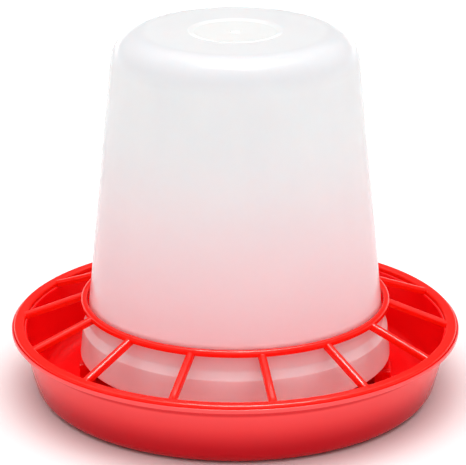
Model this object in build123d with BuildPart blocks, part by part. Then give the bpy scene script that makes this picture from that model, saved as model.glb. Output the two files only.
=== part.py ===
from build123d import *
import os
from math import cos, radians, tan

# Trough feeder for poultry: a round tray, a grille on its rim and a hopper, three plastic mouldings.
# Millimetres, +Z up. The origin is the centre of the tray's underside, so the feeder stands on z = 0.
# Every round shape turns about the Z axis, and its profile is drawn in the XZ plane as (radius, height).

# ---- Whole feeder ----
FEEDER_HEIGHT = 230.0        # underside of the tray to the hopper's flat top
RIM_RADIUS = 140.0           # outermost radius, on the tray's flange

# ---- Tray ----
TRAY_WALL = 2.2              # thickness of the leaning side wall
TRAY_FLOOR = 2.4             # thickness of the floor and of the spreading cone
TRAY_BASE_RADIUS = 123.9     # where the underside and the outside of the wall would meet
TRAY_NECK_RADIUS = 133.2     # outside of the wall, just under the flange
WALL_BULGE = 0.7             # how far the wall curves outwards between base and neck
BASE_ROUND = 9.0             # outside round between underside and wall
FLOOR_ROUND = 12.0           # inside round between floor and wall
FLANGE_UNDERSIDE = 39.3      # height of the flange's lower face
RIM_TOP = 42.0               # height of the upstand round the flange
UPSTAND = 1.0                # thickness of that upstand
GRILLE_SEAT = 40.9           # height of the ledge that the grille rests on
CONE_RADIUS = 66.0           # foot of the cone that spreads the feed
CONE_HEIGHT = 42.0           # top of the cone
CONE_CAP_RADIUS = 10.0       # flat top of the cone, before its edge is rounded
CONE_CAP_ROUND = 8.0
CONE_FOOT_ROUND = 10.0
EDGE_ROUND = 0.4             # the small rounds along moulded edges
MOUTH_ROUND = 0.8            # round between the ledge and the inside of the wall

# ---- Posts that hold the hopper off the floor ----
POST_COUNT = 4
POST_ROOT = 1.2              # height, inside the floor, where the posts start
HOPPER_SEAT = 23.2           # height of the hopper's lower edge
FIN_THICKNESS = 4.6
FIN_INNER_RADIUS = 82.0
GUIDE_RISE = 7.0             # how far a fin stands up inside the hopper
GUIDE_CLEARANCE = 0.8        # between a fin and the inside of the hopper
SHOULDER_TOP = 13.0
SHOULDER_WIDTH = 18.0
SHOULDER_INNER_RADIUS = 88.0
SHOULDER_OUTER_RADIUS = 98.6

# ---- Hopper ----
HOPPER_WALL = 1.8
HOPPER_TOP_RADIUS = 73.9     # where the flat top and the side would meet
SHOULDER_ROUND = 19.6        # round between the flat top and the side
HOPPER_DRAFT = 5.8           # degrees, widening downwards
SKIRT_TOP = 41.0             # height of the step above the skirt
SKIRT_OFFSET = 2.5           # how far the skirt stands out from the side
COVE_TOP = 46.0              # where the side starts to flare out to the step
COVE_ROUND = 4.0
SKIRT_ROUND = 1.0
DISC_RADIUS = 29.0           # shallow round recess in the top
DISC_DEPTH = 0.8
DISC_SLOPE = 4.0             # width of the recess's sloping edge
GATE_RADIUS = 3.2            # moulding gate in the middle of the recess
GATE_HEIGHT = 0.5

# ---- Grille ----
SPOKE_COUNT = 14
SPOKE_WIDTH = 4.7
SPOKE_HEIGHT = 4.5           # measured straight down
SPOKE_ROUND = 1.9            # rounds along the top edges
SPOKE_BITE = 2.0             # how far a spoke runs into the outer band
SPOKE_INNER_HEIGHT = 59.2    # a spoke's top edge at the inner ring
INNER_RING_RADIUS = 92.5     # bore that surrounds the hopper
INNER_RING_WIDTH = 4.0
INNER_RING_TOP = 60.3
INNER_RING_HEIGHT = 4.0
INNER_RING_ROUND = 1.8
OUTER_RING_RADIUS = 132.0    # inside of the band that lies on the tray
OUTER_RING_TOP = 44.0
OUTER_RING_ROUND = 1.5
RIM_CLEARANCE = 0.2          # between the band and the tray's upstand

# ---- Derived sizes ----
SLOPE = tan(radians(HOPPER_DRAFT))
CAP_UNDERSIDE = CONE_HEIGHT - TRAY_FLOOR
MOUTH_RADIUS = TRAY_NECK_RADIUS - TRAY_WALL
OUTER_RING_EDGE = RIM_RADIUS - UPSTAND - RIM_CLEARANCE
SPOKE_START = INNER_RING_RADIUS + INNER_RING_WIDTH / 2
SPOKE_END = OUTER_RING_RADIUS + SPOKE_BITE


def side_radius(height):
    """Outside radius of the hopper's straight side, carried on up or down to any height."""
    return HOPPER_TOP_RADIUS + (FEEDER_HEIGHT - height) * SLOPE


def skirt_radius(height):
    """Outside radius of the hopper's skirt."""
    return side_radius(height) + SKIRT_OFFSET


def corner(sketch, radius, height):
    """The corner of a profile that lies nearest to a point."""
    return sketch.vertices().sort_by_distance((radius, height))[0]


# ---- Support post: shoulders on each side of a taller fin, at +X ----
fin_outer = skirt_radius(HOPPER_SEAT) - EDGE_ROUND
guide_outer = skirt_radius(HOPPER_SEAT + GUIDE_RISE) - HOPPER_WALL / cos(radians(HOPPER_DRAFT))
guide_outer = guide_outer - GUIDE_CLEARANCE
with BuildPart() as post:
    with BuildSketch(Plane.XY.offset(POST_ROOT)):
        Circle(SHOULDER_OUTER_RADIUS)
        Circle(SHOULDER_INNER_RADIUS, mode=Mode.SUBTRACT)
        with Locations((SHOULDER_OUTER_RADIUS, 0)):
            Rectangle(2 * SHOULDER_OUTER_RADIUS, SHOULDER_WIDTH, mode=Mode.INTERSECT)
    extrude(amount=SHOULDER_TOP - POST_ROOT)
    fillet(post.faces().sort_by(Axis.Z)[-1].edges(), EDGE_ROUND)
    with BuildSketch(Plane.XZ):
        with BuildLine():
            Polyline(
                (FIN_INNER_RADIUS, POST_ROOT),
                (fin_outer, POST_ROOT),
                (fin_outer, HOPPER_SEAT),
                (guide_outer, HOPPER_SEAT),
                (guide_outer, HOPPER_SEAT + GUIDE_RISE),
                (FIN_INNER_RADIUS + GUIDE_RISE, HOPPER_SEAT + GUIDE_RISE),
                (FIN_INNER_RADIUS, HOPPER_SEAT),
                close=True,
            )
        make_face()
    extrude(amount=FIN_THICKNESS / 2, both=True)

# ---- Tray: floor with a hollow spreading cone, leaning wall and flanged rim ----
with BuildPart() as tray:
    with BuildSketch(Plane.XZ) as tray_profile:
        with BuildLine():
            Polyline(
                (0, CAP_UNDERSIDE),
                (CONE_CAP_RADIUS, CAP_UNDERSIDE),
                (CONE_RADIUS - TRAY_FLOOR, 0),
                (TRAY_BASE_RADIUS, 0),
            )
            SagittaArc((TRAY_BASE_RADIUS, 0), (TRAY_NECK_RADIUS, FLANGE_UNDERSIDE), -WALL_BULGE)
            Polyline(
                (TRAY_NECK_RADIUS, FLANGE_UNDERSIDE),
                (RIM_RADIUS, FLANGE_UNDERSIDE),
                (RIM_RADIUS, RIM_TOP),
                (RIM_RADIUS - UPSTAND, RIM_TOP),
                (RIM_RADIUS - UPSTAND, GRILLE_SEAT),
                (MOUTH_RADIUS, GRILLE_SEAT),
            )
            SagittaArc((MOUTH_RADIUS, GRILLE_SEAT), (TRAY_BASE_RADIUS - TRAY_WALL, TRAY_FLOOR), WALL_BULGE)
            Polyline(
                (TRAY_BASE_RADIUS - TRAY_WALL, TRAY_FLOOR),
                (CONE_RADIUS, TRAY_FLOOR),
                (CONE_CAP_RADIUS + TRAY_FLOOR, CONE_HEIGHT),
                (0, CONE_HEIGHT),
                (0, CAP_UNDERSIDE),
            )
        make_face()
        fillet(corner(tray_profile, TRAY_BASE_RADIUS, 0), BASE_ROUND)
        fillet(corner(tray_profile, TRAY_BASE_RADIUS - TRAY_WALL, TRAY_FLOOR), FLOOR_ROUND)
        fillet(corner(tray_profile, CONE_RADIUS, TRAY_FLOOR), CONE_FOOT_ROUND)
        fillet(corner(tray_profile, CONE_CAP_RADIUS + TRAY_FLOOR, CONE_HEIGHT), CONE_CAP_ROUND)
        fillet(corner(tray_profile, TRAY_NECK_RADIUS, FLANGE_UNDERSIDE), EDGE_ROUND)
        fillet(corner(tray_profile, RIM_RADIUS, FLANGE_UNDERSIDE), EDGE_ROUND)
        fillet(corner(tray_profile, RIM_RADIUS, RIM_TOP), EDGE_ROUND)
        fillet(corner(tray_profile, MOUTH_RADIUS, GRILLE_SEAT), MOUTH_ROUND)
    revolve(axis=Axis.Z)
    with PolarLocations(0, POST_COUNT):
        add(post.part)
tray.part.label = "tray"

# ---- Hopper: an open-bottomed shell with a stepped skirt ----
cove_radius = side_radius(COVE_TOP)
with BuildPart() as hopper:
    with BuildSketch(Plane.XZ) as hopper_profile:
        with BuildLine():
            Polyline(
                (0, HOPPER_SEAT),
                (skirt_radius(HOPPER_SEAT), HOPPER_SEAT),
                (skirt_radius(SKIRT_TOP), SKIRT_TOP),
                (cove_radius, COVE_TOP),
                (HOPPER_TOP_RADIUS, FEEDER_HEIGHT),
                (DISC_RADIUS, FEEDER_HEIGHT),
                (DISC_RADIUS - DISC_SLOPE, FEEDER_HEIGHT - DISC_DEPTH),
                (0, FEEDER_HEIGHT - DISC_DEPTH),
                close=True,
            )
        make_face()
        fillet(corner(hopper_profile, HOPPER_TOP_RADIUS, FEEDER_HEIGHT), SHOULDER_ROUND)
        fillet(corner(hopper_profile, skirt_radius(SKIRT_TOP), SKIRT_TOP), SKIRT_ROUND)
        fillet(corner(hopper_profile, cove_radius, COVE_TOP), COVE_ROUND)
        fillet(corner(hopper_profile, DISC_RADIUS, FEEDER_HEIGHT), DISC_SLOPE)
    revolve(axis=Axis.Z)
    offset(amount=-HOPPER_WALL, openings=hopper.faces().sort_by(Axis.Z)[0])
    with BuildSketch(Plane.XY.offset(FEEDER_HEIGHT - DISC_DEPTH)):
        Circle(GATE_RADIUS)
    extrude(amount=GATE_HEIGHT)
hopper.part.label = "hopper"

# ---- One spoke of the grille, at +X ----
spoke_drop = (SPOKE_INNER_HEIGHT - OUTER_RING_TOP) / (SPOKE_END - SPOKE_START)
spoke_foot = SPOKE_START + (SPOKE_INNER_HEIGHT - SPOKE_HEIGHT - GRILLE_SEAT) / spoke_drop
with BuildPart() as spoke:
    with BuildSketch(Plane.XZ):
        with BuildLine():
            Polyline(
                (SPOKE_START, SPOKE_INNER_HEIGHT),
                (SPOKE_END, OUTER_RING_TOP),
                (SPOKE_END, GRILLE_SEAT),
                (spoke_foot, GRILLE_SEAT),
                (SPOKE_START, SPOKE_INNER_HEIGHT - SPOKE_HEIGHT),
                close=True,
            )
        make_face()
    extrude(amount=SPOKE_WIDTH / 2, both=True)
    top_face = max(spoke.faces(), key=lambda face: face.normal_at().Z)
    fillet(top_face.edges().group_by(Axis.Y)[0] + top_face.edges().group_by(Axis.Y)[-1], SPOKE_ROUND)

# ---- Grille: inner ring round the hopper, outer band on the tray, spokes between ----
with BuildPart() as grille:
    with BuildSketch(Plane.XZ) as ring_profiles:
        with Locations((INNER_RING_RADIUS, INNER_RING_TOP)):
            Rectangle(INNER_RING_WIDTH, INNER_RING_HEIGHT, align=(Align.MIN, Align.MAX))
        with Locations((OUTER_RING_RADIUS, GRILLE_SEAT)):
            Rectangle(
                OUTER_RING_EDGE - OUTER_RING_RADIUS,
                OUTER_RING_TOP - GRILLE_SEAT,
                align=(Align.MIN, Align.MIN),
            )
        fillet(ring_profiles.vertices().group_by(Axis.Y)[-1], INNER_RING_ROUND)
        fillet(corner(ring_profiles, OUTER_RING_RADIUS, OUTER_RING_TOP), OUTER_RING_ROUND)
        fillet(corner(ring_profiles, OUTER_RING_EDGE, OUTER_RING_TOP), OUTER_RING_ROUND)
    revolve(axis=Axis.Z)
    with PolarLocations(0, SPOKE_COUNT):
        add(spoke.part)
grille.part.label = "grille"

# ---- Written pieces ----
os.makedirs("parts", exist_ok=True)
for piece in (tray, hopper, grille):
    export_step(piece.part, f"parts/{piece.part.label}.step")
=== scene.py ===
from math import asin, ceil, cos, pi, radians, sin, tan
import bmesh
import bpy
from mathutils import Euler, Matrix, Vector


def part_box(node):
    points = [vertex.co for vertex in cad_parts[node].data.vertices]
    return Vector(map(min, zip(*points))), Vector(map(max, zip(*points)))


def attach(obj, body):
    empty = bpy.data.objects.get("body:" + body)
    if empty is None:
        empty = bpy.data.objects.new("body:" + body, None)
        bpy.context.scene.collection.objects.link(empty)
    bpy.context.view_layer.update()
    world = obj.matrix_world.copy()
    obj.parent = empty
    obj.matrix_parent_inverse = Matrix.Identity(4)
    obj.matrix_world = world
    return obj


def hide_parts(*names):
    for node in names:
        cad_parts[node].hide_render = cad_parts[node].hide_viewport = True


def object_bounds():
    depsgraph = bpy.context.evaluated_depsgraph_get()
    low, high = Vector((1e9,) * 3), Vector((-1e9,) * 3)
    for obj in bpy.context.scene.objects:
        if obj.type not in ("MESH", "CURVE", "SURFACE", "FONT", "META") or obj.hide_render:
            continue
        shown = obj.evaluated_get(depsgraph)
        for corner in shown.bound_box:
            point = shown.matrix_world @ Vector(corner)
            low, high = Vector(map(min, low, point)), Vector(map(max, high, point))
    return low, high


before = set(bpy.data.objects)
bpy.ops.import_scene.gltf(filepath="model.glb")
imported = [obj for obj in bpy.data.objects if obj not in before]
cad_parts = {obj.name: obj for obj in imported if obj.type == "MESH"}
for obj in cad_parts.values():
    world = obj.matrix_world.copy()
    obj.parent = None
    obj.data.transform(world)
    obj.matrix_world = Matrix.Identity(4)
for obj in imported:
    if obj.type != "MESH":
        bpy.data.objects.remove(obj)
cad_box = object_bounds()

# Trough feeder: a red tray, a red grille on its rim and a milky, translucent hopper.
# The model is in metres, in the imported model's frame. Sizes are named in millimetres and multiplied
# by MM. An outline is a list of corners, (radius, height, round at that corner) in millimetres, and
# is turned about the Z axis.

MM = 0.001
TURN = 2 * pi
SEGMENTS = 288               # facets round every turned piece
ARC_STEP = radians(7.5)      # largest turn between two points of a profile's round
RUN_STEP = 4.0               # longest straight run of a profile, in millimetres
WELD = 1e-6                  # metres; vertices nearer than this are one
SHARP = radians(38)          # faces that meet at more than this keep an edge in the shading
FACE_WEIGHT = 60             # how far large faces pull the shading's normals
BEVEL_SEGMENTS = 3
BEVEL_ANGLE = radians(35)    # edges sharper than this are rounded

tray_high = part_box("tray")[1]
hopper_low, hopper_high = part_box("hopper")
grille_low, grille_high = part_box("grille")

# ---- Sizes shared by the pieces, in millimetres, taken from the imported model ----
RIM_RADIUS = tray_high.x / MM
RIM_TOP = tray_high.z / MM
HOPPER_TOP = hopper_high.z / MM
HOPPER_SEAT = hopper_low.z / MM
SKIRT_RADIUS = hopper_high.x / MM
GRILLE_SEAT = grille_low.z / MM
BAND_OUTER = grille_high.x / MM
INNER_RING_TOP = grille_high.z / MM

# ---- Tray, in millimetres ----
TRAY_WALL = 2.2
TRAY_FLOOR = 2.4
TRAY_BASE = 123.9
TRAY_NECK = 133.2
WALL_BULGE = 0.7             # how far the leaning wall swells outwards in its middle
BULGE_START = 9.0            # the swelling grows to full over this distance inside the wall's foot
FLANGE_UNDERSIDE = 39.3
UPSTAND = 1.0
RIM_CLEAR = 1.0              # nothing nearer the upstand than this swells
CONE_FOOT = 66.0
CONE_TOP = 42.0
CONE_CAP = 10.0
CONE_CAP_ROUNDS = (6, 8)     # below, above
CONE_FOOT_ROUNDS = (5, 10)
FOOT_ROUNDS = (9, 12)        # outside, inside
EDGE = 0.4                   # round along a moulded edge
POST_COUNT = 4
FIN_INNER = 82.0
FIN_THICKNESS = 4.6
GUIDE_RISE = 7.0
GUIDE_GAP = 2.7              # from the skirt's outside to a fin's guide
SHOULDER_TOP = 13.0
SHOULDER_WIDTH = 18.0
SHOULDER_INNER = 88.0
SHOULDER_OUTER = 98.6
SHOULDER_STEPS = 7           # facets of the outer face; odd, to keep its corners off the tray's edges
SHOULDER_EDGE = 0.5
FIN_EDGE = 0.3

# ---- Hopper, in millimetres ----
HOPPER_WALL = 1.8
DRAFT = tan(radians(5.8))
TOP_CORNER = 73.9
SHOULDER_ROUND = 19.6
SKIRT_TOP = 41.0
COVE_TOP = 46.0
SKIRT_OFFSET = 2.5
LIP_ROUND = 0.5
STEP_ROUND = 1.0
COVE_ROUNDS = (4, 3)         # outside, inside
COVE_SHIFT, STEP_SHIFT = 0.6, 0.4    # shares of the wall that move these inner corners up and down
DISC = 29.0
DISC_DEPTH = 0.8
DISC_SLOPE = 4.0
DISC_ROUNDS = (4, 2)         # outside: upper edge, lower edge; the other way about inside
GATE_RADIUS = 3.2
GATE_HEIGHT = 0.5
GATE_DRAFT = 0.3
GATE_EDGE = 0.2

# ---- Grille, in millimetres ----
SPOKE_COUNT = 14
SPOKE_WIDTH = 4.7
SPOKE_HEIGHT = 4.5
SPOKE_ROUND = 1.9
SPOKE_INNER_TOP = 59.2
SPOKE_EDGE = 0.3
SPOKE_BITE = 2.0             # how far a spoke's end reaches into the band
SPOKE_STEPS = 4              # stations along a spoke, from the ring to where it meets the band's underside
SPOKE_LIFT = 0.05            # from the band's underside to a spoke's, so that they don't share a plane
RING_BORE = 92.5
RING_WIDTH = 4.0
RING_HEIGHT = 4.0
RING_ROUND = 1.8
BAND_INNER = 132.0
BAND_TOP = 44.0
BAND_ROUND = 1.5
BAND_EDGE = 0.2

# ---- Camera and studio, in metres ----
CAMERA_AZIMUTH = radians(3.3)        # turned from -Y towards +X
CAMERA_PITCH = radians(70.4)         # 19.6 degrees below the horizon
CAMERA_DISTANCE = 10 * RIM_RADIUS * MM
CAMERA_HEIGHT = 4.279 * RIM_RADIUS * MM
CAMERA_SIDESTEP = -0.01 * RIM_RADIUS * MM
CAMERA_REACH = 50            # beyond this nothing is drawn
LENS = 184.9                 # millimetres
FLOOR_SIZE = 12.0
SKY = ((0, 2.3), (0.2, 0.33), (0.5, 0.22), (1, 2.75))   # sine of the height above the horizon, brightness
SKY_PEAK = 4.0               # brightness at the sky ramp's full white
GLEAM_POWER = 45             # watts; this lamp is seen in highlights only
GLEAM_PLACE, GLEAM_SIZE = (0.06, 0.13, 1.5), (0.75, 0.85)
FRONT_POWER = 7.7
FRONT_PLACE, FRONT_SIZE = (0.5, -2.2, 0.9), (1.6, 1.2)
GAMMA = 0.8
BOUNCES = 8                  # enough for light shut in between the tray and the hopper
PAPER, PAPER_CLOUD = 0.85, 0.01      # how much light the floor reflects, and how much that varies
PAPER_ROUGHNESS, PAPER_GLOSS = 0.9, 0.1
PAPER_NOISE = (3, 3)         # cells per metre, detail

# ---- Looks: colours are linear, and heights and radii are in millimetres ----
# A noise is (cells per metre, detail).
CLOUD = (0.3, 0.7)           # the part of a noise texture's range that is spread from 0 to 1
NOISE_ROUGHNESS = 0.55
IOR = 1.45                   # polypropylene
GRAIN_DEPTH, WAVE_DEPTH = 0.00004, 0.0003        # metres; the moulded surface's grain and waviness
BUMP = 0.02                  # strength of both
RUBBED_EDGE = (0.505, 0.56)  # pointiness where the rubbing of an edge begins and is full
RUBBED_PATCH = (0.42, 0.7)   # part of the noise that breaks the rubbing up
RUBBED_MOST = 0.4            # share of the pale colour on a rubbed edge
RUBBED_DULLING = 0.2         # roughness that rubbing adds
RED_ROUGHNESS = (0.18, 0.22)
RED_PIGMENT, RED_SHEEN, RED_PATCH = (22, 2), (45, 2), (260, 3)
RED_GRAIN, RED_WAVE = (600, 1), (25, 1)

TRAY_RED, TRAY_DEEP = (0.97, 0.004, 0.007, 1), (0.94, 0.003, 0.006, 1)
# Rubbed edges take the pale colour; on the tray's outer wall it is also a painted reflection of the floor,
# and the dull colour is painted shade near the ground.
TRAY_RUBBED_AND_REFLECTION, TRAY_FOOT_SHADE = (0.88, 0.14, 0.14, 1), (0.54, 0.002, 0.012, 1)
TRAY_REFLECTION_MOST = 0.8              # share of the painted floor reflection on the tray's outer wall, at its most
REFLECTION_GONE, REFLECTION_FULL = 8, 40         # that wall goes from painted shade to painted reflection between these heights
FACING_OUT = (0.01, 0.03)    # position times normal, where the outside begins and is full
OUTER_WALL = (110, 116)      # radii between which the floor's underside gives way to the wall
SHADOW_LINE_TOP, SHADOW_LINE_FOOT = 4.5, 5.8       # a darker painted shadow line below the flange's underside starts between these
SHADOW_LINE_PALENESS = 0.3          # share of the painted reflection left in that painted shadow line
FLANGE_EDGE = 0.2            # the painted reflection comes back this far below the flange's underside

GRILLE_RED, GRILLE_DEEP = (0.96, 0.016, 0.004, 1), (0.93, 0.012, 0.003, 1)
GRILLE_PALE = (0.97, 0.16, 0.10, 1)

MILKY, MILKY_LIGHT = (0.745, 0.745, 0.755, 1), (0.775, 0.775, 0.78, 1)
STREAK, STREAK_MOST = (0.79, 0.785, 0.78, 1), 0.35
DISC_WHITE = (0.81, 0.805, 0.795, 1)
# Painted shade on the hopper's shoulder.
SHOULDER_SHADE = (0.705, 0.705, 0.72, 1)
SHOULDER_SHADE_DEPTH = (21, 10)        # painted shade darkens the shoulder between these depths below the top
SHOULDER_SHADE_RADIUS = (52, 60)       # and between these radii
# Painted light: red light from the tray seen through the milky plastic, and paler light on the skirt's
# edge.
PAINTED_RED_LIGHT, PAINTED_SKIRT_LIGHT = (0.87, 0.61, 0.63, 1), (1.0, 0.97, 0.97, 1)
RED_LIGHT_TOP, RED_LIGHT_FULL = 190, 58      # painted red light from the tray reddens the milky plastic between these heights
RED_LIGHT_END, RED_LIGHT_GONE = 60, 22       # and gives way to painted pale light towards the skirt's edge
MILKY_ROUGHNESS = (0.11, 0.15)
MILKY_GLOSS = 0.12
MILKY_PIGMENT, MILKY_SHEEN, MILKY_STREAK = (14, 5), (30, 3), (60, 4)
MILKY_GRAIN, MILKY_WAVE = (700, 1), (14, 1)
STREAK_STRETCH, WAVE_STRETCH = (1, 1, 0.12), (1, 1, 0.3)     # both run up and down the side
MILKY_WAVE_DEPTH, MILKY_BUMP = 0.0005, 0.04
MILKY_DEPTH = 0.003          # metres that light wanders inside the hopper's plastic
MILKY_SPREAD = (1.25, 1.0, 0.95)     # share of that depth for red, green and blue


# ---- Mesh helpers ----
def rounded(corners):
    """Points of an outline in millimetres: an arc replaces each (x, y, round) corner, and long straight
    runs are divided."""
    points = []
    count = len(corners)
    for i, (x, y, radius) in enumerate(corners):
        here = Vector((x, y))
        if radius == 0:
            points.append(here)
            continue
        back = (Vector(corners[i - 1][:2]) - here).normalized()
        ahead = (Vector(corners[(i + 1) % count][:2]) - here).normalized()
        half = back.angle(ahead) / 2
        start = here + back * (radius / tan(half))
        end = here + ahead * (radius / tan(half))
        centre = here + (back + ahead).normalized() * (radius / sin(half))
        steps = max(2, ceil((pi - 2 * half) / ARC_STEP))
        for step in range(steps + 1):
            points.append(centre + radius * (start - centre).slerp(end - centre, step / steps))
    divided = []
    for a, b in zip(points, points[1:] + points[:1]):
        runs = max(1, ceil((b - a).length / RUN_STEP))
        divided += [a.lerp(b, run / runs) for run in range(runs)]
    return divided


def swung(x, y, z, turn):
    """A point in millimetres, turned about the Z axis and given in metres."""
    return (x * cos(turn) - y * sin(turn)) * MM, (x * sin(turn) + y * cos(turn)) * MM, z * MM


def new_piece(name, vertices, faces):
    """A mesh object with outward faces, from points in metres."""
    mesh = bpy.data.meshes.new(name)
    mesh.from_pydata(vertices, [], faces)
    piece = bpy.data.objects.new(name, mesh)
    bpy.context.scene.collection.objects.link(piece)
    work = bmesh.new()
    work.from_mesh(mesh)
    bmesh.ops.remove_doubles(work, verts=work.verts, dist=WELD)
    bmesh.ops.recalc_face_normals(work, faces=work.faces)
    work.to_mesh(mesh)
    work.free()
    return piece


def turned(name, outlines):
    """One mesh of revolution from closed outlines in millimetres; points on the axis close into poles."""
    vertices, faces = [], []
    for outline in outlines:
        base = len(vertices)
        count = len(outline)
        for segment in range(SEGMENTS):
            angle = TURN * segment / SEGMENTS
            for point in outline:
                radius = max(point.x, 0.0) * MM
                vertices.append((radius * cos(angle), radius * sin(angle), point.y * MM))
        for segment in range(SEGMENTS):
            near = base + segment * count
            far = base + (segment + 1) % SEGMENTS * count
            for i in range(count):
                j = (i + 1) % count
                if outline[i].x <= 0 and outline[j].x <= 0:
                    continue
                faces.append((near + i, near + j, far + j, far + i))
    piece = new_piece(name, vertices, faces)
    work = bmesh.new()
    work.from_mesh(piece.data)
    bmesh.ops.dissolve_degenerate(work, edges=work.edges, dist=WELD)
    bmesh.ops.recalc_face_normals(work, faces=work.faces)
    work.to_mesh(piece.data)
    work.free()
    return piece


def baked(piece):
    """The piece's mesh with its modifiers worked in; the modifiers go."""
    graph = bpy.context.evaluated_depsgraph_get()
    mesh = bpy.data.meshes.new_from_object(piece.evaluated_get(graph), depsgraph=graph)
    piece.modifiers.clear()
    return mesh


def welded(mesh):
    """Merges doubled vertices, which takes away the scraps of no width that a union can leave."""
    work = bmesh.new()
    work.from_mesh(mesh)
    bmesh.ops.remove_doubles(work, verts=work.verts, dist=WELD)
    loose = [edge for edge in work.edges if not edge.link_faces]
    bmesh.ops.delete(work, geom=loose, context="EDGES")
    work.to_mesh(mesh)
    work.free()
    return mesh


def united(piece, other):
    """Joins two solids into one skin with no inner faces, and drops the second object."""
    union = piece.modifiers.new("union", "BOOLEAN")
    union.operation = "UNION"
    union.solver = "EXACT"
    union.object = other
    piece.data = welded(baked(piece))
    bpy.data.objects.remove(other)
    return piece


def gathered(pieces):
    """Separate solids as one object."""
    work = bmesh.new()
    for piece in pieces:
        work.from_mesh(piece.data)
    work.to_mesh(pieces[0].data)
    work.free()
    for piece in pieces[1:]:
        bpy.data.objects.remove(piece)
    return pieces[0]


def smooth(piece):
    """Smooth shading that keeps the sharp edges."""
    piece.data.shade_smooth()
    piece.data.set_sharp_from_angle(angle=SHARP)
    weighted = piece.modifiers.new("weighted normals", "WEIGHTED_NORMAL")
    weighted.keep_sharp = True
    weighted.weight = FACE_WEIGHT


# ---- Tray ----
def tray_outline():
    """Section of the tray: cone and floor, leaning wall and flanged rim, outside then inside."""
    mouth = TRAY_NECK - TRAY_WALL
    inner_base = TRAY_BASE - TRAY_WALL
    points = rounded([
        (0, CONE_TOP - TRAY_FLOOR, 0),
        (CONE_CAP, CONE_TOP - TRAY_FLOOR, CONE_CAP_ROUNDS[0]),
        (CONE_FOOT - TRAY_FLOOR, 0, CONE_FOOT_ROUNDS[0]),
        (TRAY_BASE, 0, FOOT_ROUNDS[0]),
        (TRAY_NECK, FLANGE_UNDERSIDE, EDGE),
        (RIM_RADIUS, FLANGE_UNDERSIDE, 2 * EDGE),
        (RIM_RADIUS, RIM_TOP, EDGE),
        (RIM_RADIUS - UPSTAND, RIM_TOP, EDGE),
        (RIM_RADIUS - UPSTAND, GRILLE_SEAT, 0),
        (mouth, GRILLE_SEAT, 2 * EDGE),
        (inner_base, TRAY_FLOOR, FOOT_ROUNDS[1]),
        (CONE_FOOT, TRAY_FLOOR, CONE_FOOT_ROUNDS[1]),
        (CONE_CAP + TRAY_FLOOR, CONE_TOP, CONE_CAP_ROUNDS[1]),
        (0, CONE_TOP, 0),
    ])
    for point in points:
        share = min(max((point.x - inner_base + BULGE_START) / BULGE_START, 0), 1)
        swell = WALL_BULGE * max(sin(pi * point.y / FLANGE_UNDERSIDE), 0)
        if point.x < RIM_RADIUS - UPSTAND - RIM_CLEAR:
            point.x += share * swell
    return points


def prism(name, outline, place):
    """A closed solid between two copies of an outline; place(point, end) puts a point at end 0 or 1."""
    count = len(outline)
    vertices = [place(point, end) for end in (0, 1) for point in outline]
    faces = [tuple(range(count)), tuple(range(count, 2 * count))]
    faces += [(i, (i + 1) % count, count + (i + 1) % count, count + i) for i in range(count)]
    return new_piece(name, vertices, faces)


def softened(piece, width):
    """Rounds a piece's sharp edges; the width is in millimetres."""
    bevel = piece.modifiers.new("edges", "BEVEL")
    bevel.width = width * MM
    bevel.segments = BEVEL_SEGMENTS
    bevel.limit_method = "ANGLE"
    bevel.angle_limit = BEVEL_ANGLE
    piece.data = baked(piece)
    return piece


def make_post(turn):
    """Shoulders and fin of the post at one angle, in one solid. Both start inside the floor."""
    reach = asin(SHOULDER_WIDTH / 2 / SHOULDER_OUTER)
    sweep = [reach * (2 * step / SHOULDER_STEPS - 1) for step in range(SHOULDER_STEPS + 1)]
    plan = [(SHOULDER_OUTER * cos(angle), SHOULDER_OUTER * sin(angle)) for angle in sweep]
    plan += [(SHOULDER_INNER, SHOULDER_WIDTH / 2), (SHOULDER_INNER, -SHOULDER_WIDTH / 2)]

    def from_plan(point, end):
        return swung(*point, (TRAY_FLOOR / 2, SHOULDER_TOP)[end], turn)

    guide = SKIRT_RADIUS - GUIDE_GAP - GUIDE_RISE * DRAFT
    profile = [
        (FIN_INNER, TRAY_FLOOR / 2),
        (SKIRT_RADIUS - EDGE, TRAY_FLOOR / 2),
        (SKIRT_RADIUS - EDGE, HOPPER_SEAT),
        (guide, HOPPER_SEAT),
        (guide, HOPPER_SEAT + GUIDE_RISE),
        (FIN_INNER + GUIDE_RISE, HOPPER_SEAT + GUIDE_RISE),
        (FIN_INNER, HOPPER_SEAT),
    ]

    def from_profile(point, end):
        return swung(point[0], (end - 0.5) * FIN_THICKNESS, point[1], turn)

    shoulders = softened(prism("shoulders", plan, from_plan), SHOULDER_EDGE)
    fin = softened(prism("fin", profile, from_profile), FIN_EDGE)
    return united(shoulders, fin)


def make_tray():
    posts = gathered([make_post(TURN * post / POST_COUNT) for post in range(POST_COUNT)])
    return united(turned("tray_moulding", [tray_outline()]), posts)


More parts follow.
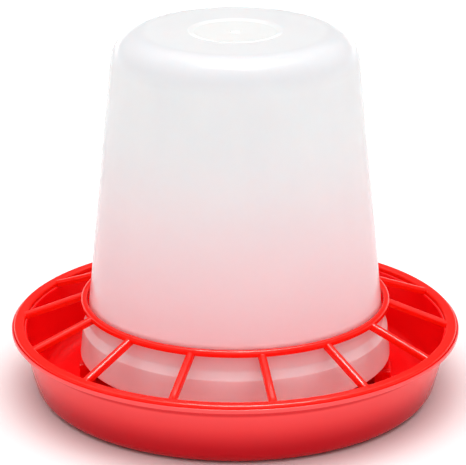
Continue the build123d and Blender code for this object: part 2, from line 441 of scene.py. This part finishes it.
# ---- Hopper ----
def hopper_outline():
    """Section of the hopper's wall: outside from the skirt up to the middle of the top, then back inside.
    The cove's inner corners are moved by shares of the wall, so that the wall stays as thick there."""
    def side(height):
        return TOP_CORNER + (HOPPER_TOP - height) * DRAFT

    wall = HOPPER_WALL
    floor = HOPPER_TOP - DISC_DEPTH
    lip = side(HOPPER_SEAT) + SKIRT_OFFSET
    step = side(SKIRT_TOP) + SKIRT_OFFSET
    inner_cove = COVE_TOP + wall * COVE_SHIFT
    return rounded([
        (lip, HOPPER_SEAT, LIP_ROUND),
        (step, SKIRT_TOP, STEP_ROUND),
        (side(COVE_TOP), COVE_TOP, COVE_ROUNDS[0]),
        (TOP_CORNER, HOPPER_TOP, SHOULDER_ROUND),
        (DISC, HOPPER_TOP, DISC_ROUNDS[0]),
        (DISC - DISC_SLOPE, floor, DISC_ROUNDS[1]),
        (GATE_RADIUS, floor, GATE_EDGE),
        (GATE_RADIUS - GATE_DRAFT, floor + GATE_HEIGHT, GATE_EDGE),
        (0, floor + GATE_HEIGHT, 0),
        (0, floor - wall, 0),
        (DISC - DISC_SLOPE, floor - wall, DISC_ROUNDS[0]),
        (DISC, HOPPER_TOP - wall, DISC_ROUNDS[1]),
        (TOP_CORNER - wall, HOPPER_TOP - wall, SHOULDER_ROUND - wall),
        (side(inner_cove) - wall, inner_cove, COVE_ROUNDS[1]),
        (step - wall, SKIRT_TOP - wall * STEP_SHIFT, STEP_ROUND),
        (lip - wall, HOPPER_SEAT, LIP_ROUND),
    ])


def make_hopper():
    return turned("hopper_shell", [hopper_outline()])


# ---- Grille ----
def ring_outlines():
    """Sections of the inner ring and of the outer band."""
    inner, outer, top = RING_BORE, RING_BORE + RING_WIDTH, INNER_RING_TOP
    ring = rounded([
        (inner, top - RING_HEIGHT, EDGE),
        (outer, top - RING_HEIGHT, EDGE),
        (outer, top, RING_ROUND),
        (inner, top, RING_ROUND),
    ])
    band = rounded([
        (BAND_INNER, GRILLE_SEAT, BAND_EDGE),
        (BAND_OUTER, GRILLE_SEAT, BAND_EDGE),
        (BAND_OUTER, BAND_TOP, BAND_ROUND),
        (BAND_INNER, BAND_TOP, BAND_ROUND),
    ])
    return [ring, band]


def make_spokes():
    """All the spokes in one mesh: each is a bar with a rounded top that slopes from ring to band."""
    start = RING_BORE + RING_WIDTH / 2
    end = BAND_INNER + SPOKE_BITE
    slope = (SPOKE_INNER_TOP - BAND_TOP) / (end - start)
    foot = start + (SPOKE_INNER_TOP - SPOKE_HEIGHT - GRILLE_SEAT) / slope
    stations = [start + (foot - start) * step / SPOKE_STEPS for step in range(SPOKE_STEPS + 1)] + [end]
    half = SPOKE_WIDTH / 2
    vertices, faces = [], []
    for spoke in range(SPOKE_COUNT):
        turn = TURN * spoke / SPOKE_COUNT
        base = len(vertices)
        for radius in stations:
            top = SPOKE_INNER_TOP - (radius - start) * slope
            bottom = max(top - SPOKE_HEIGHT, GRILLE_SEAT + SPOKE_LIFT)
            section = rounded([
                (-half, bottom, SPOKE_EDGE),
                (half, bottom, SPOKE_EDGE),
                (half, top, SPOKE_ROUND),
                (-half, top, SPOKE_ROUND),
            ])
            vertices += [swung(radius, across, height, turn) for across, height in section]
        count = (len(vertices) - base) // len(stations)
        last = base + (len(stations) - 1) * count
        for near in range(base, last, count):
            for i in range(count):
                j = (i + 1) % count
                faces.append((near + i, near + j, near + count + j, near + count + i))
        faces.append(tuple(range(base, base + count)))
        faces.append(tuple(range(last, last + count)))
    return new_piece("spokes", vertices, faces)


def make_grille():
    rings = turned("grille_moulding", ring_outlines())
    return united(rings, make_spokes())


# ---- Materials ----
class Nodes:
    """Short calls for building one material's node tree."""

    def __init__(self, name):
        self.material = bpy.data.materials.new(name)
        self.material.use_nodes = True
        self.tree = self.material.node_tree
        self.shader = self.tree.nodes["Principled BSDF"]
        self.place = self.add("ShaderNodeTexCoord").outputs["Object"]

    def add(self, kind, **settings):
        node = self.tree.nodes.new(kind)
        for key, value in settings.items():
            setattr(node, key, value)
        return node

    def link(self, output, target):
        self.tree.links.new(output, target)

    def noise(self, scale, detail, stretch=(1, 1, 1)):
        """Noise of so many cells per metre, stretched along an axis by a small factor there."""
        mapping = self.add("ShaderNodeMapping")
        mapping.inputs["Scale"].default_value = stretch
        self.link(self.place, mapping.inputs["Vector"])
        noise = self.add("ShaderNodeTexNoise")
        noise.inputs["Scale"].default_value = scale
        noise.inputs["Detail"].default_value = detail
        noise.inputs["Roughness"].default_value = NOISE_ROUGHNESS
        self.link(mapping.outputs["Vector"], noise.inputs["Vector"])
        return noise.outputs["Fac"]

    def spread(self, value, low, high, new_low, new_high, smooth=False):
        """A value moved from one range to another, and held inside it."""
        ranged = self.add("ShaderNodeMapRange", interpolation_type="SMOOTHSTEP" if smooth else "LINEAR")
        ranged.inputs["From Min"].default_value = low
        ranged.inputs["From Max"].default_value = high
        ranged.inputs["To Min"].default_value = new_low
        ranged.inputs["To Max"].default_value = new_high
        self.link(value, ranged.inputs["Value"])
        return ranged.outputs["Result"]

    def feed(self, value, target):
        """Puts a number, a colour or another node's output into a node's input."""
        if isinstance(value, (int, float, tuple)):
            target.default_value = value
        else:
            self.link(value, target)

    def maths(self, operation, first, second):
        node = self.add("ShaderNodeMath", operation=operation)
        self.feed(first, node.inputs[0])
        self.feed(second, node.inputs[1])
        return node.outputs["Value"]

    def times(self, first, second):
        return self.maths("MULTIPLY", first, second)

    def blend(self, share, first, second):
        """A colour between two, by a share from 0 to 1. The mix node has sockets for numbers and
        vectors first: 0 is the share, 6 and 7 are the colours going in and 2 is the one coming out."""
        mix = self.add("ShaderNodeMix", data_type="RGBA")
        self.feed(share, mix.inputs[0])
        self.feed(first, mix.inputs[6])
        self.feed(second, mix.inputs[7])
        return mix.outputs[2]

    def radius(self):
        """Distance from the feeder's axis, in metres."""
        flat = self.add("ShaderNodeMapping")
        flat.inputs["Scale"].default_value = (1, 1, 0)
        self.link(self.place, flat.inputs["Vector"])
        length = self.add("ShaderNodeVectorMath", operation="LENGTH")
        self.link(flat.outputs["Vector"], length.inputs[0])
        return length.outputs["Value"]

    def height(self):
        """Height above the feeder's underside, in metres."""
        split = self.add("ShaderNodeSeparateXYZ")
        self.link(self.place, split.inputs["Vector"])
        return split.outputs["Z"]

    def bump(self, layers):
        """Stacked bumps: each layer is (value, strength, height in metres)."""
        normal = None
        for value, strength, height in layers:
            bump = self.add("ShaderNodeBump")
            bump.inputs["Strength"].default_value = strength
            bump.inputs["Distance"].default_value = height
            self.link(value, bump.inputs["Height"])
            if normal is not None:
                self.link(normal, bump.inputs["Normal"])
            normal = bump.outputs["Normal"]
        self.link(normal, self.shader.inputs["Normal"])

    def cloud(self, scale, detail, new_low=0, new_high=1, stretch=(1, 1, 1)):
        """Noise spread between two values."""
        return self.spread(self.noise(scale, detail, stretch=stretch), *CLOUD, new_low, new_high)

    def set(self, **values):
        """Sets inputs of the main shader, with _ for each space in a name."""
        for key, value in values.items():
            self.shader.inputs[key.replace("_", " ")].default_value = value


def outer_wall_painted_light(nodes, body, pale, foot_shade):
    """The tray's outer wall: a painted floor reflection towards the rim, painted shade towards the ground,
    and a painted shadow line below the flange."""
    outward = nodes.add("ShaderNodeVectorMath", operation="DOT_PRODUCT")
    nodes.link(nodes.place, outward.inputs[0])
    nodes.link(nodes.add("ShaderNodeNewGeometry").outputs["Normal"], outward.inputs[1])
    facing = nodes.spread(outward.outputs["Value"], *FACING_OUT, 0, TRAY_REFLECTION_MOST)
    wall = nodes.spread(nodes.radius(), OUTER_WALL[0] * MM, OUTER_WALL[1] * MM, 0, 1)
    outside = nodes.times(facing, wall)
    height = nodes.height()
    high = nodes.spread(height, REFLECTION_GONE * MM, REFLECTION_FULL * MM, 0, 1, smooth=True)
    # painted shadow of the flange: a darker line just below its underside
    shadow_foot, shadow_top = FLANGE_UNDERSIDE - SHADOW_LINE_FOOT, FLANGE_UNDERSIDE - SHADOW_LINE_TOP
    flange_shadow = nodes.spread(height, shadow_foot * MM, shadow_top * MM, 1, SHADOW_LINE_PALENESS)
    flange = nodes.spread(height, (FLANGE_UNDERSIDE - FLANGE_EDGE) * MM, FLANGE_UNDERSIDE * MM, 0, 1)
    high = nodes.times(high, nodes.maths("MAXIMUM", flange_shadow, flange))
    low = nodes.times(outside, nodes.maths("SUBTRACT", 1, high))
    body = nodes.blend(nodes.times(low, 1 / TRAY_REFLECTION_MOST), body, foot_shade)
    return nodes.blend(nodes.times(outside, high), body, pale)


def red_plastic(name, colour, deep, pale, foot_shade=None):
    """Moulded polypropylene: faint clouding of the pigment, rubbed edges, a fine moulded grain.
    A painted shade colour is given for the tray only, and its outer wall then goes from painted shade near
    the ground to a painted floor reflection near the rim."""
    nodes = Nodes(name)
    body = nodes.blend(nodes.cloud(*RED_PIGMENT), deep, colour)
    # the tray's outer wall gets painted shade, a painted floor reflection and a painted shadow line
    if foot_shade:
        body = outer_wall_painted_light(nodes, body, pale, foot_shade)
    pointed = nodes.add("ShaderNodeNewGeometry").outputs["Pointiness"]
    rubbed = nodes.spread(pointed, *RUBBED_EDGE, 0, 1)
    patches = nodes.spread(nodes.noise(*RED_PATCH), *RUBBED_PATCH, 0, RUBBED_MOST)
    wear = nodes.times(rubbed, patches)
    nodes.link(nodes.blend(wear, body, pale), nodes.shader.inputs["Base Color"])
    sheen = nodes.cloud(*RED_SHEEN, *RED_ROUGHNESS)
    dulled = nodes.maths("ADD", sheen, nodes.times(wear, RUBBED_DULLING))
    nodes.link(dulled, nodes.shader.inputs["Roughness"])
    nodes.bump([
        (nodes.noise(*RED_GRAIN), BUMP, GRAIN_DEPTH),
        (nodes.noise(*RED_WAVE), BUMP, WAVE_DEPTH),
    ])
    nodes.set(IOR=IOR)
    return nodes.material


def milky_plastic(name):
    """Unpigmented polypropylene: light enters the thin wall and is scattered in it. Its colour also
    carries painted shade on the shoulder and painted red light low down.
    """
    nodes = Nodes(name)
    body = nodes.blend(nodes.cloud(*MILKY_PIGMENT), MILKY, MILKY_LIGHT)
    streaks = nodes.cloud(*MILKY_STREAK, stretch=STREAK_STRETCH)
    body = nodes.blend(nodes.times(streaks, STREAK_MOST), body, STREAK)
    radius, height = nodes.radius(), nodes.height()
    disc = nodes.spread(radius, DISC * MM, (DISC - DISC_SLOPE) * MM, 0, 1)
    body = nodes.blend(disc, body, DISC_WHITE)
    # painted shade: the shoulder is darker
    shade_low, shade_high = HOPPER_TOP - SHOULDER_SHADE_DEPTH[0], HOPPER_TOP - SHOULDER_SHADE_DEPTH[1]
    high = nodes.spread(height, shade_low * MM, shade_high * MM, 0, 1, smooth=True)
    outer = nodes.spread(radius, SHOULDER_SHADE_RADIUS[0] * MM, SHOULDER_SHADE_RADIUS[1] * MM, 0, 1, smooth=True)
    body = nodes.blend(nodes.times(high, outer), body, SHOULDER_SHADE)
    # painted light: red from the tray low down, paler again at the skirt's edge
    low = nodes.spread(height, RED_LIGHT_TOP * MM, RED_LIGHT_FULL * MM, 0, 1, smooth=True)
    edge = nodes.spread(height, RED_LIGHT_GONE * MM, RED_LIGHT_END * MM, 0, 1)
    body = nodes.blend(low, body, nodes.blend(edge, PAINTED_SKIRT_LIGHT, PAINTED_RED_LIGHT))
    nodes.link(body, nodes.shader.inputs["Base Color"])
    nodes.link(nodes.cloud(*MILKY_SHEEN, *MILKY_ROUGHNESS), nodes.shader.inputs["Roughness"])
    nodes.bump([
        (nodes.noise(*MILKY_GRAIN), BUMP, GRAIN_DEPTH),
        (nodes.noise(*MILKY_WAVE, stretch=WAVE_STRETCH), MILKY_BUMP, MILKY_WAVE_DEPTH),
    ])
    nodes.set(
        IOR=IOR,
        Specular_IOR_Level=MILKY_GLOSS,
        Subsurface_Weight=1.0,
        Subsurface_Radius=MILKY_SPREAD,
        Subsurface_Scale=MILKY_DEPTH,
    )
    return nodes.material


# ---- Studio ----
def area_light(name, place, target, size, power):
    """A soft rectangular light that faces a point."""
    lamp = bpy.data.lights.new(name, "AREA")
    lamp.shape = "RECTANGLE"
    lamp.size, lamp.size_y = size
    lamp.energy = power
    light = bpy.data.objects.new(name, lamp)
    bpy.context.scene.collection.objects.link(light)
    light.location = place
    light.rotation_euler = (Vector(target) - Vector(place)).to_track_quat("-Z", "Y").to_euler()
    return light


def make_floor():
    """White paper under the feeder."""
    half = FLOOR_SIZE / 2
    corners = [(-half, -half, 0), (half, -half, 0), (half, half, 0), (-half, half, 0)]
    ground = new_piece("studio_floor", corners, [(0, 1, 2, 3)])
    ground.location.z = cad_box[0][2]
    nodes = Nodes("studio_paper")
    darker, lighter = [(PAPER + shift,) * 3 + (1,) for shift in (-PAPER_CLOUD, PAPER_CLOUD)]
    nodes.link(nodes.blend(nodes.cloud(*PAPER_NOISE), darker, lighter), nodes.shader.inputs["Base Color"])
    nodes.set(Roughness=PAPER_ROUGHNESS, Specular_IOR_Level=PAPER_GLOSS)
    ground.data.materials.append(nodes.material)


def make_sky():
    """Light from all round, by the height above the horizon."""
    world = bpy.data.worlds.new("studio")
    world.use_nodes = True
    tree = world.node_tree
    direction = tree.nodes.new("ShaderNodeTexCoord")
    height = tree.nodes.new("ShaderNodeSeparateXYZ")
    ramp = tree.nodes.new("ShaderNodeValToRGB")
    stops = ramp.color_ramp.elements
    for place, _ in SKY[1:-1]:
        stops.new(place)
    for stop, (place, level) in zip(stops, SKY):
        stop.position = place
        stop.color = (level / SKY_PEAK,) * 3 + (1,)
    tree.links.new(direction.outputs["Generated"], height.inputs["Vector"])
    tree.links.new(height.outputs["Z"], ramp.inputs["Fac"])
    background = tree.nodes["Background"]
    background.inputs["Strength"].default_value = SKY_PEAK
    tree.links.new(ramp.outputs["Color"], background.inputs["Color"])
    bpy.context.scene.world = world


def make_studio():
    make_sky()
    middle = (0, 0, HOPPER_TOP / 2 * MM)
    gleam = area_light("gleam", GLEAM_PLACE, middle, GLEAM_SIZE, GLEAM_POWER)
    gleam.visible_diffuse = False
    area_light("front", FRONT_PLACE, middle, FRONT_SIZE, FRONT_POWER)
    view = bpy.context.scene.view_settings
    view.view_transform = "Standard"
    view.look = "None"
    view.gamma = GAMMA
    bpy.context.scene.cycles.diffuse_bounces = BOUNCES


def make_camera():
    data = bpy.data.cameras.new("camera")
    data.lens = LENS
    data.clip_end = CAMERA_REACH
    camera = bpy.data.objects.new("camera", data)
    bpy.context.scene.collection.objects.link(camera)
    across = Vector((cos(CAMERA_AZIMUTH), sin(CAMERA_AZIMUTH), 0))
    back = Vector((sin(CAMERA_AZIMUTH), -cos(CAMERA_AZIMUTH), 0))
    camera.location = back * CAMERA_DISTANCE + across * CAMERA_SIDESTEP + Vector((0, 0, CAMERA_HEIGHT))
    camera.rotation_euler = Euler((CAMERA_PITCH, 0, CAMERA_AZIMUTH))
    bpy.context.scene.camera = camera


# ---- Assembly ----
make_camera()
make_floor()
make_studio()

tray_red = red_plastic("tray_plastic", TRAY_RED, TRAY_DEEP, TRAY_RUBBED_AND_REFLECTION, foot_shade=TRAY_FOOT_SHADE)
grille_red = red_plastic("grille_plastic", GRILLE_RED, GRILLE_DEEP, GRILLE_PALE)
milky = milky_plastic("hopper_plastic")

for make, node, slot, material in (
    (make_tray, "tray", "tray_red", tray_red),
    (make_hopper, "hopper", "hopper_milky", milky),
    (make_grille, "grille", "grille_red", grille_red),
):
    piece = make()
    smooth(piece)
    piece.data.materials.clear()
    piece.data.materials.append(material)
    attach(piece, node)
    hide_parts(node)
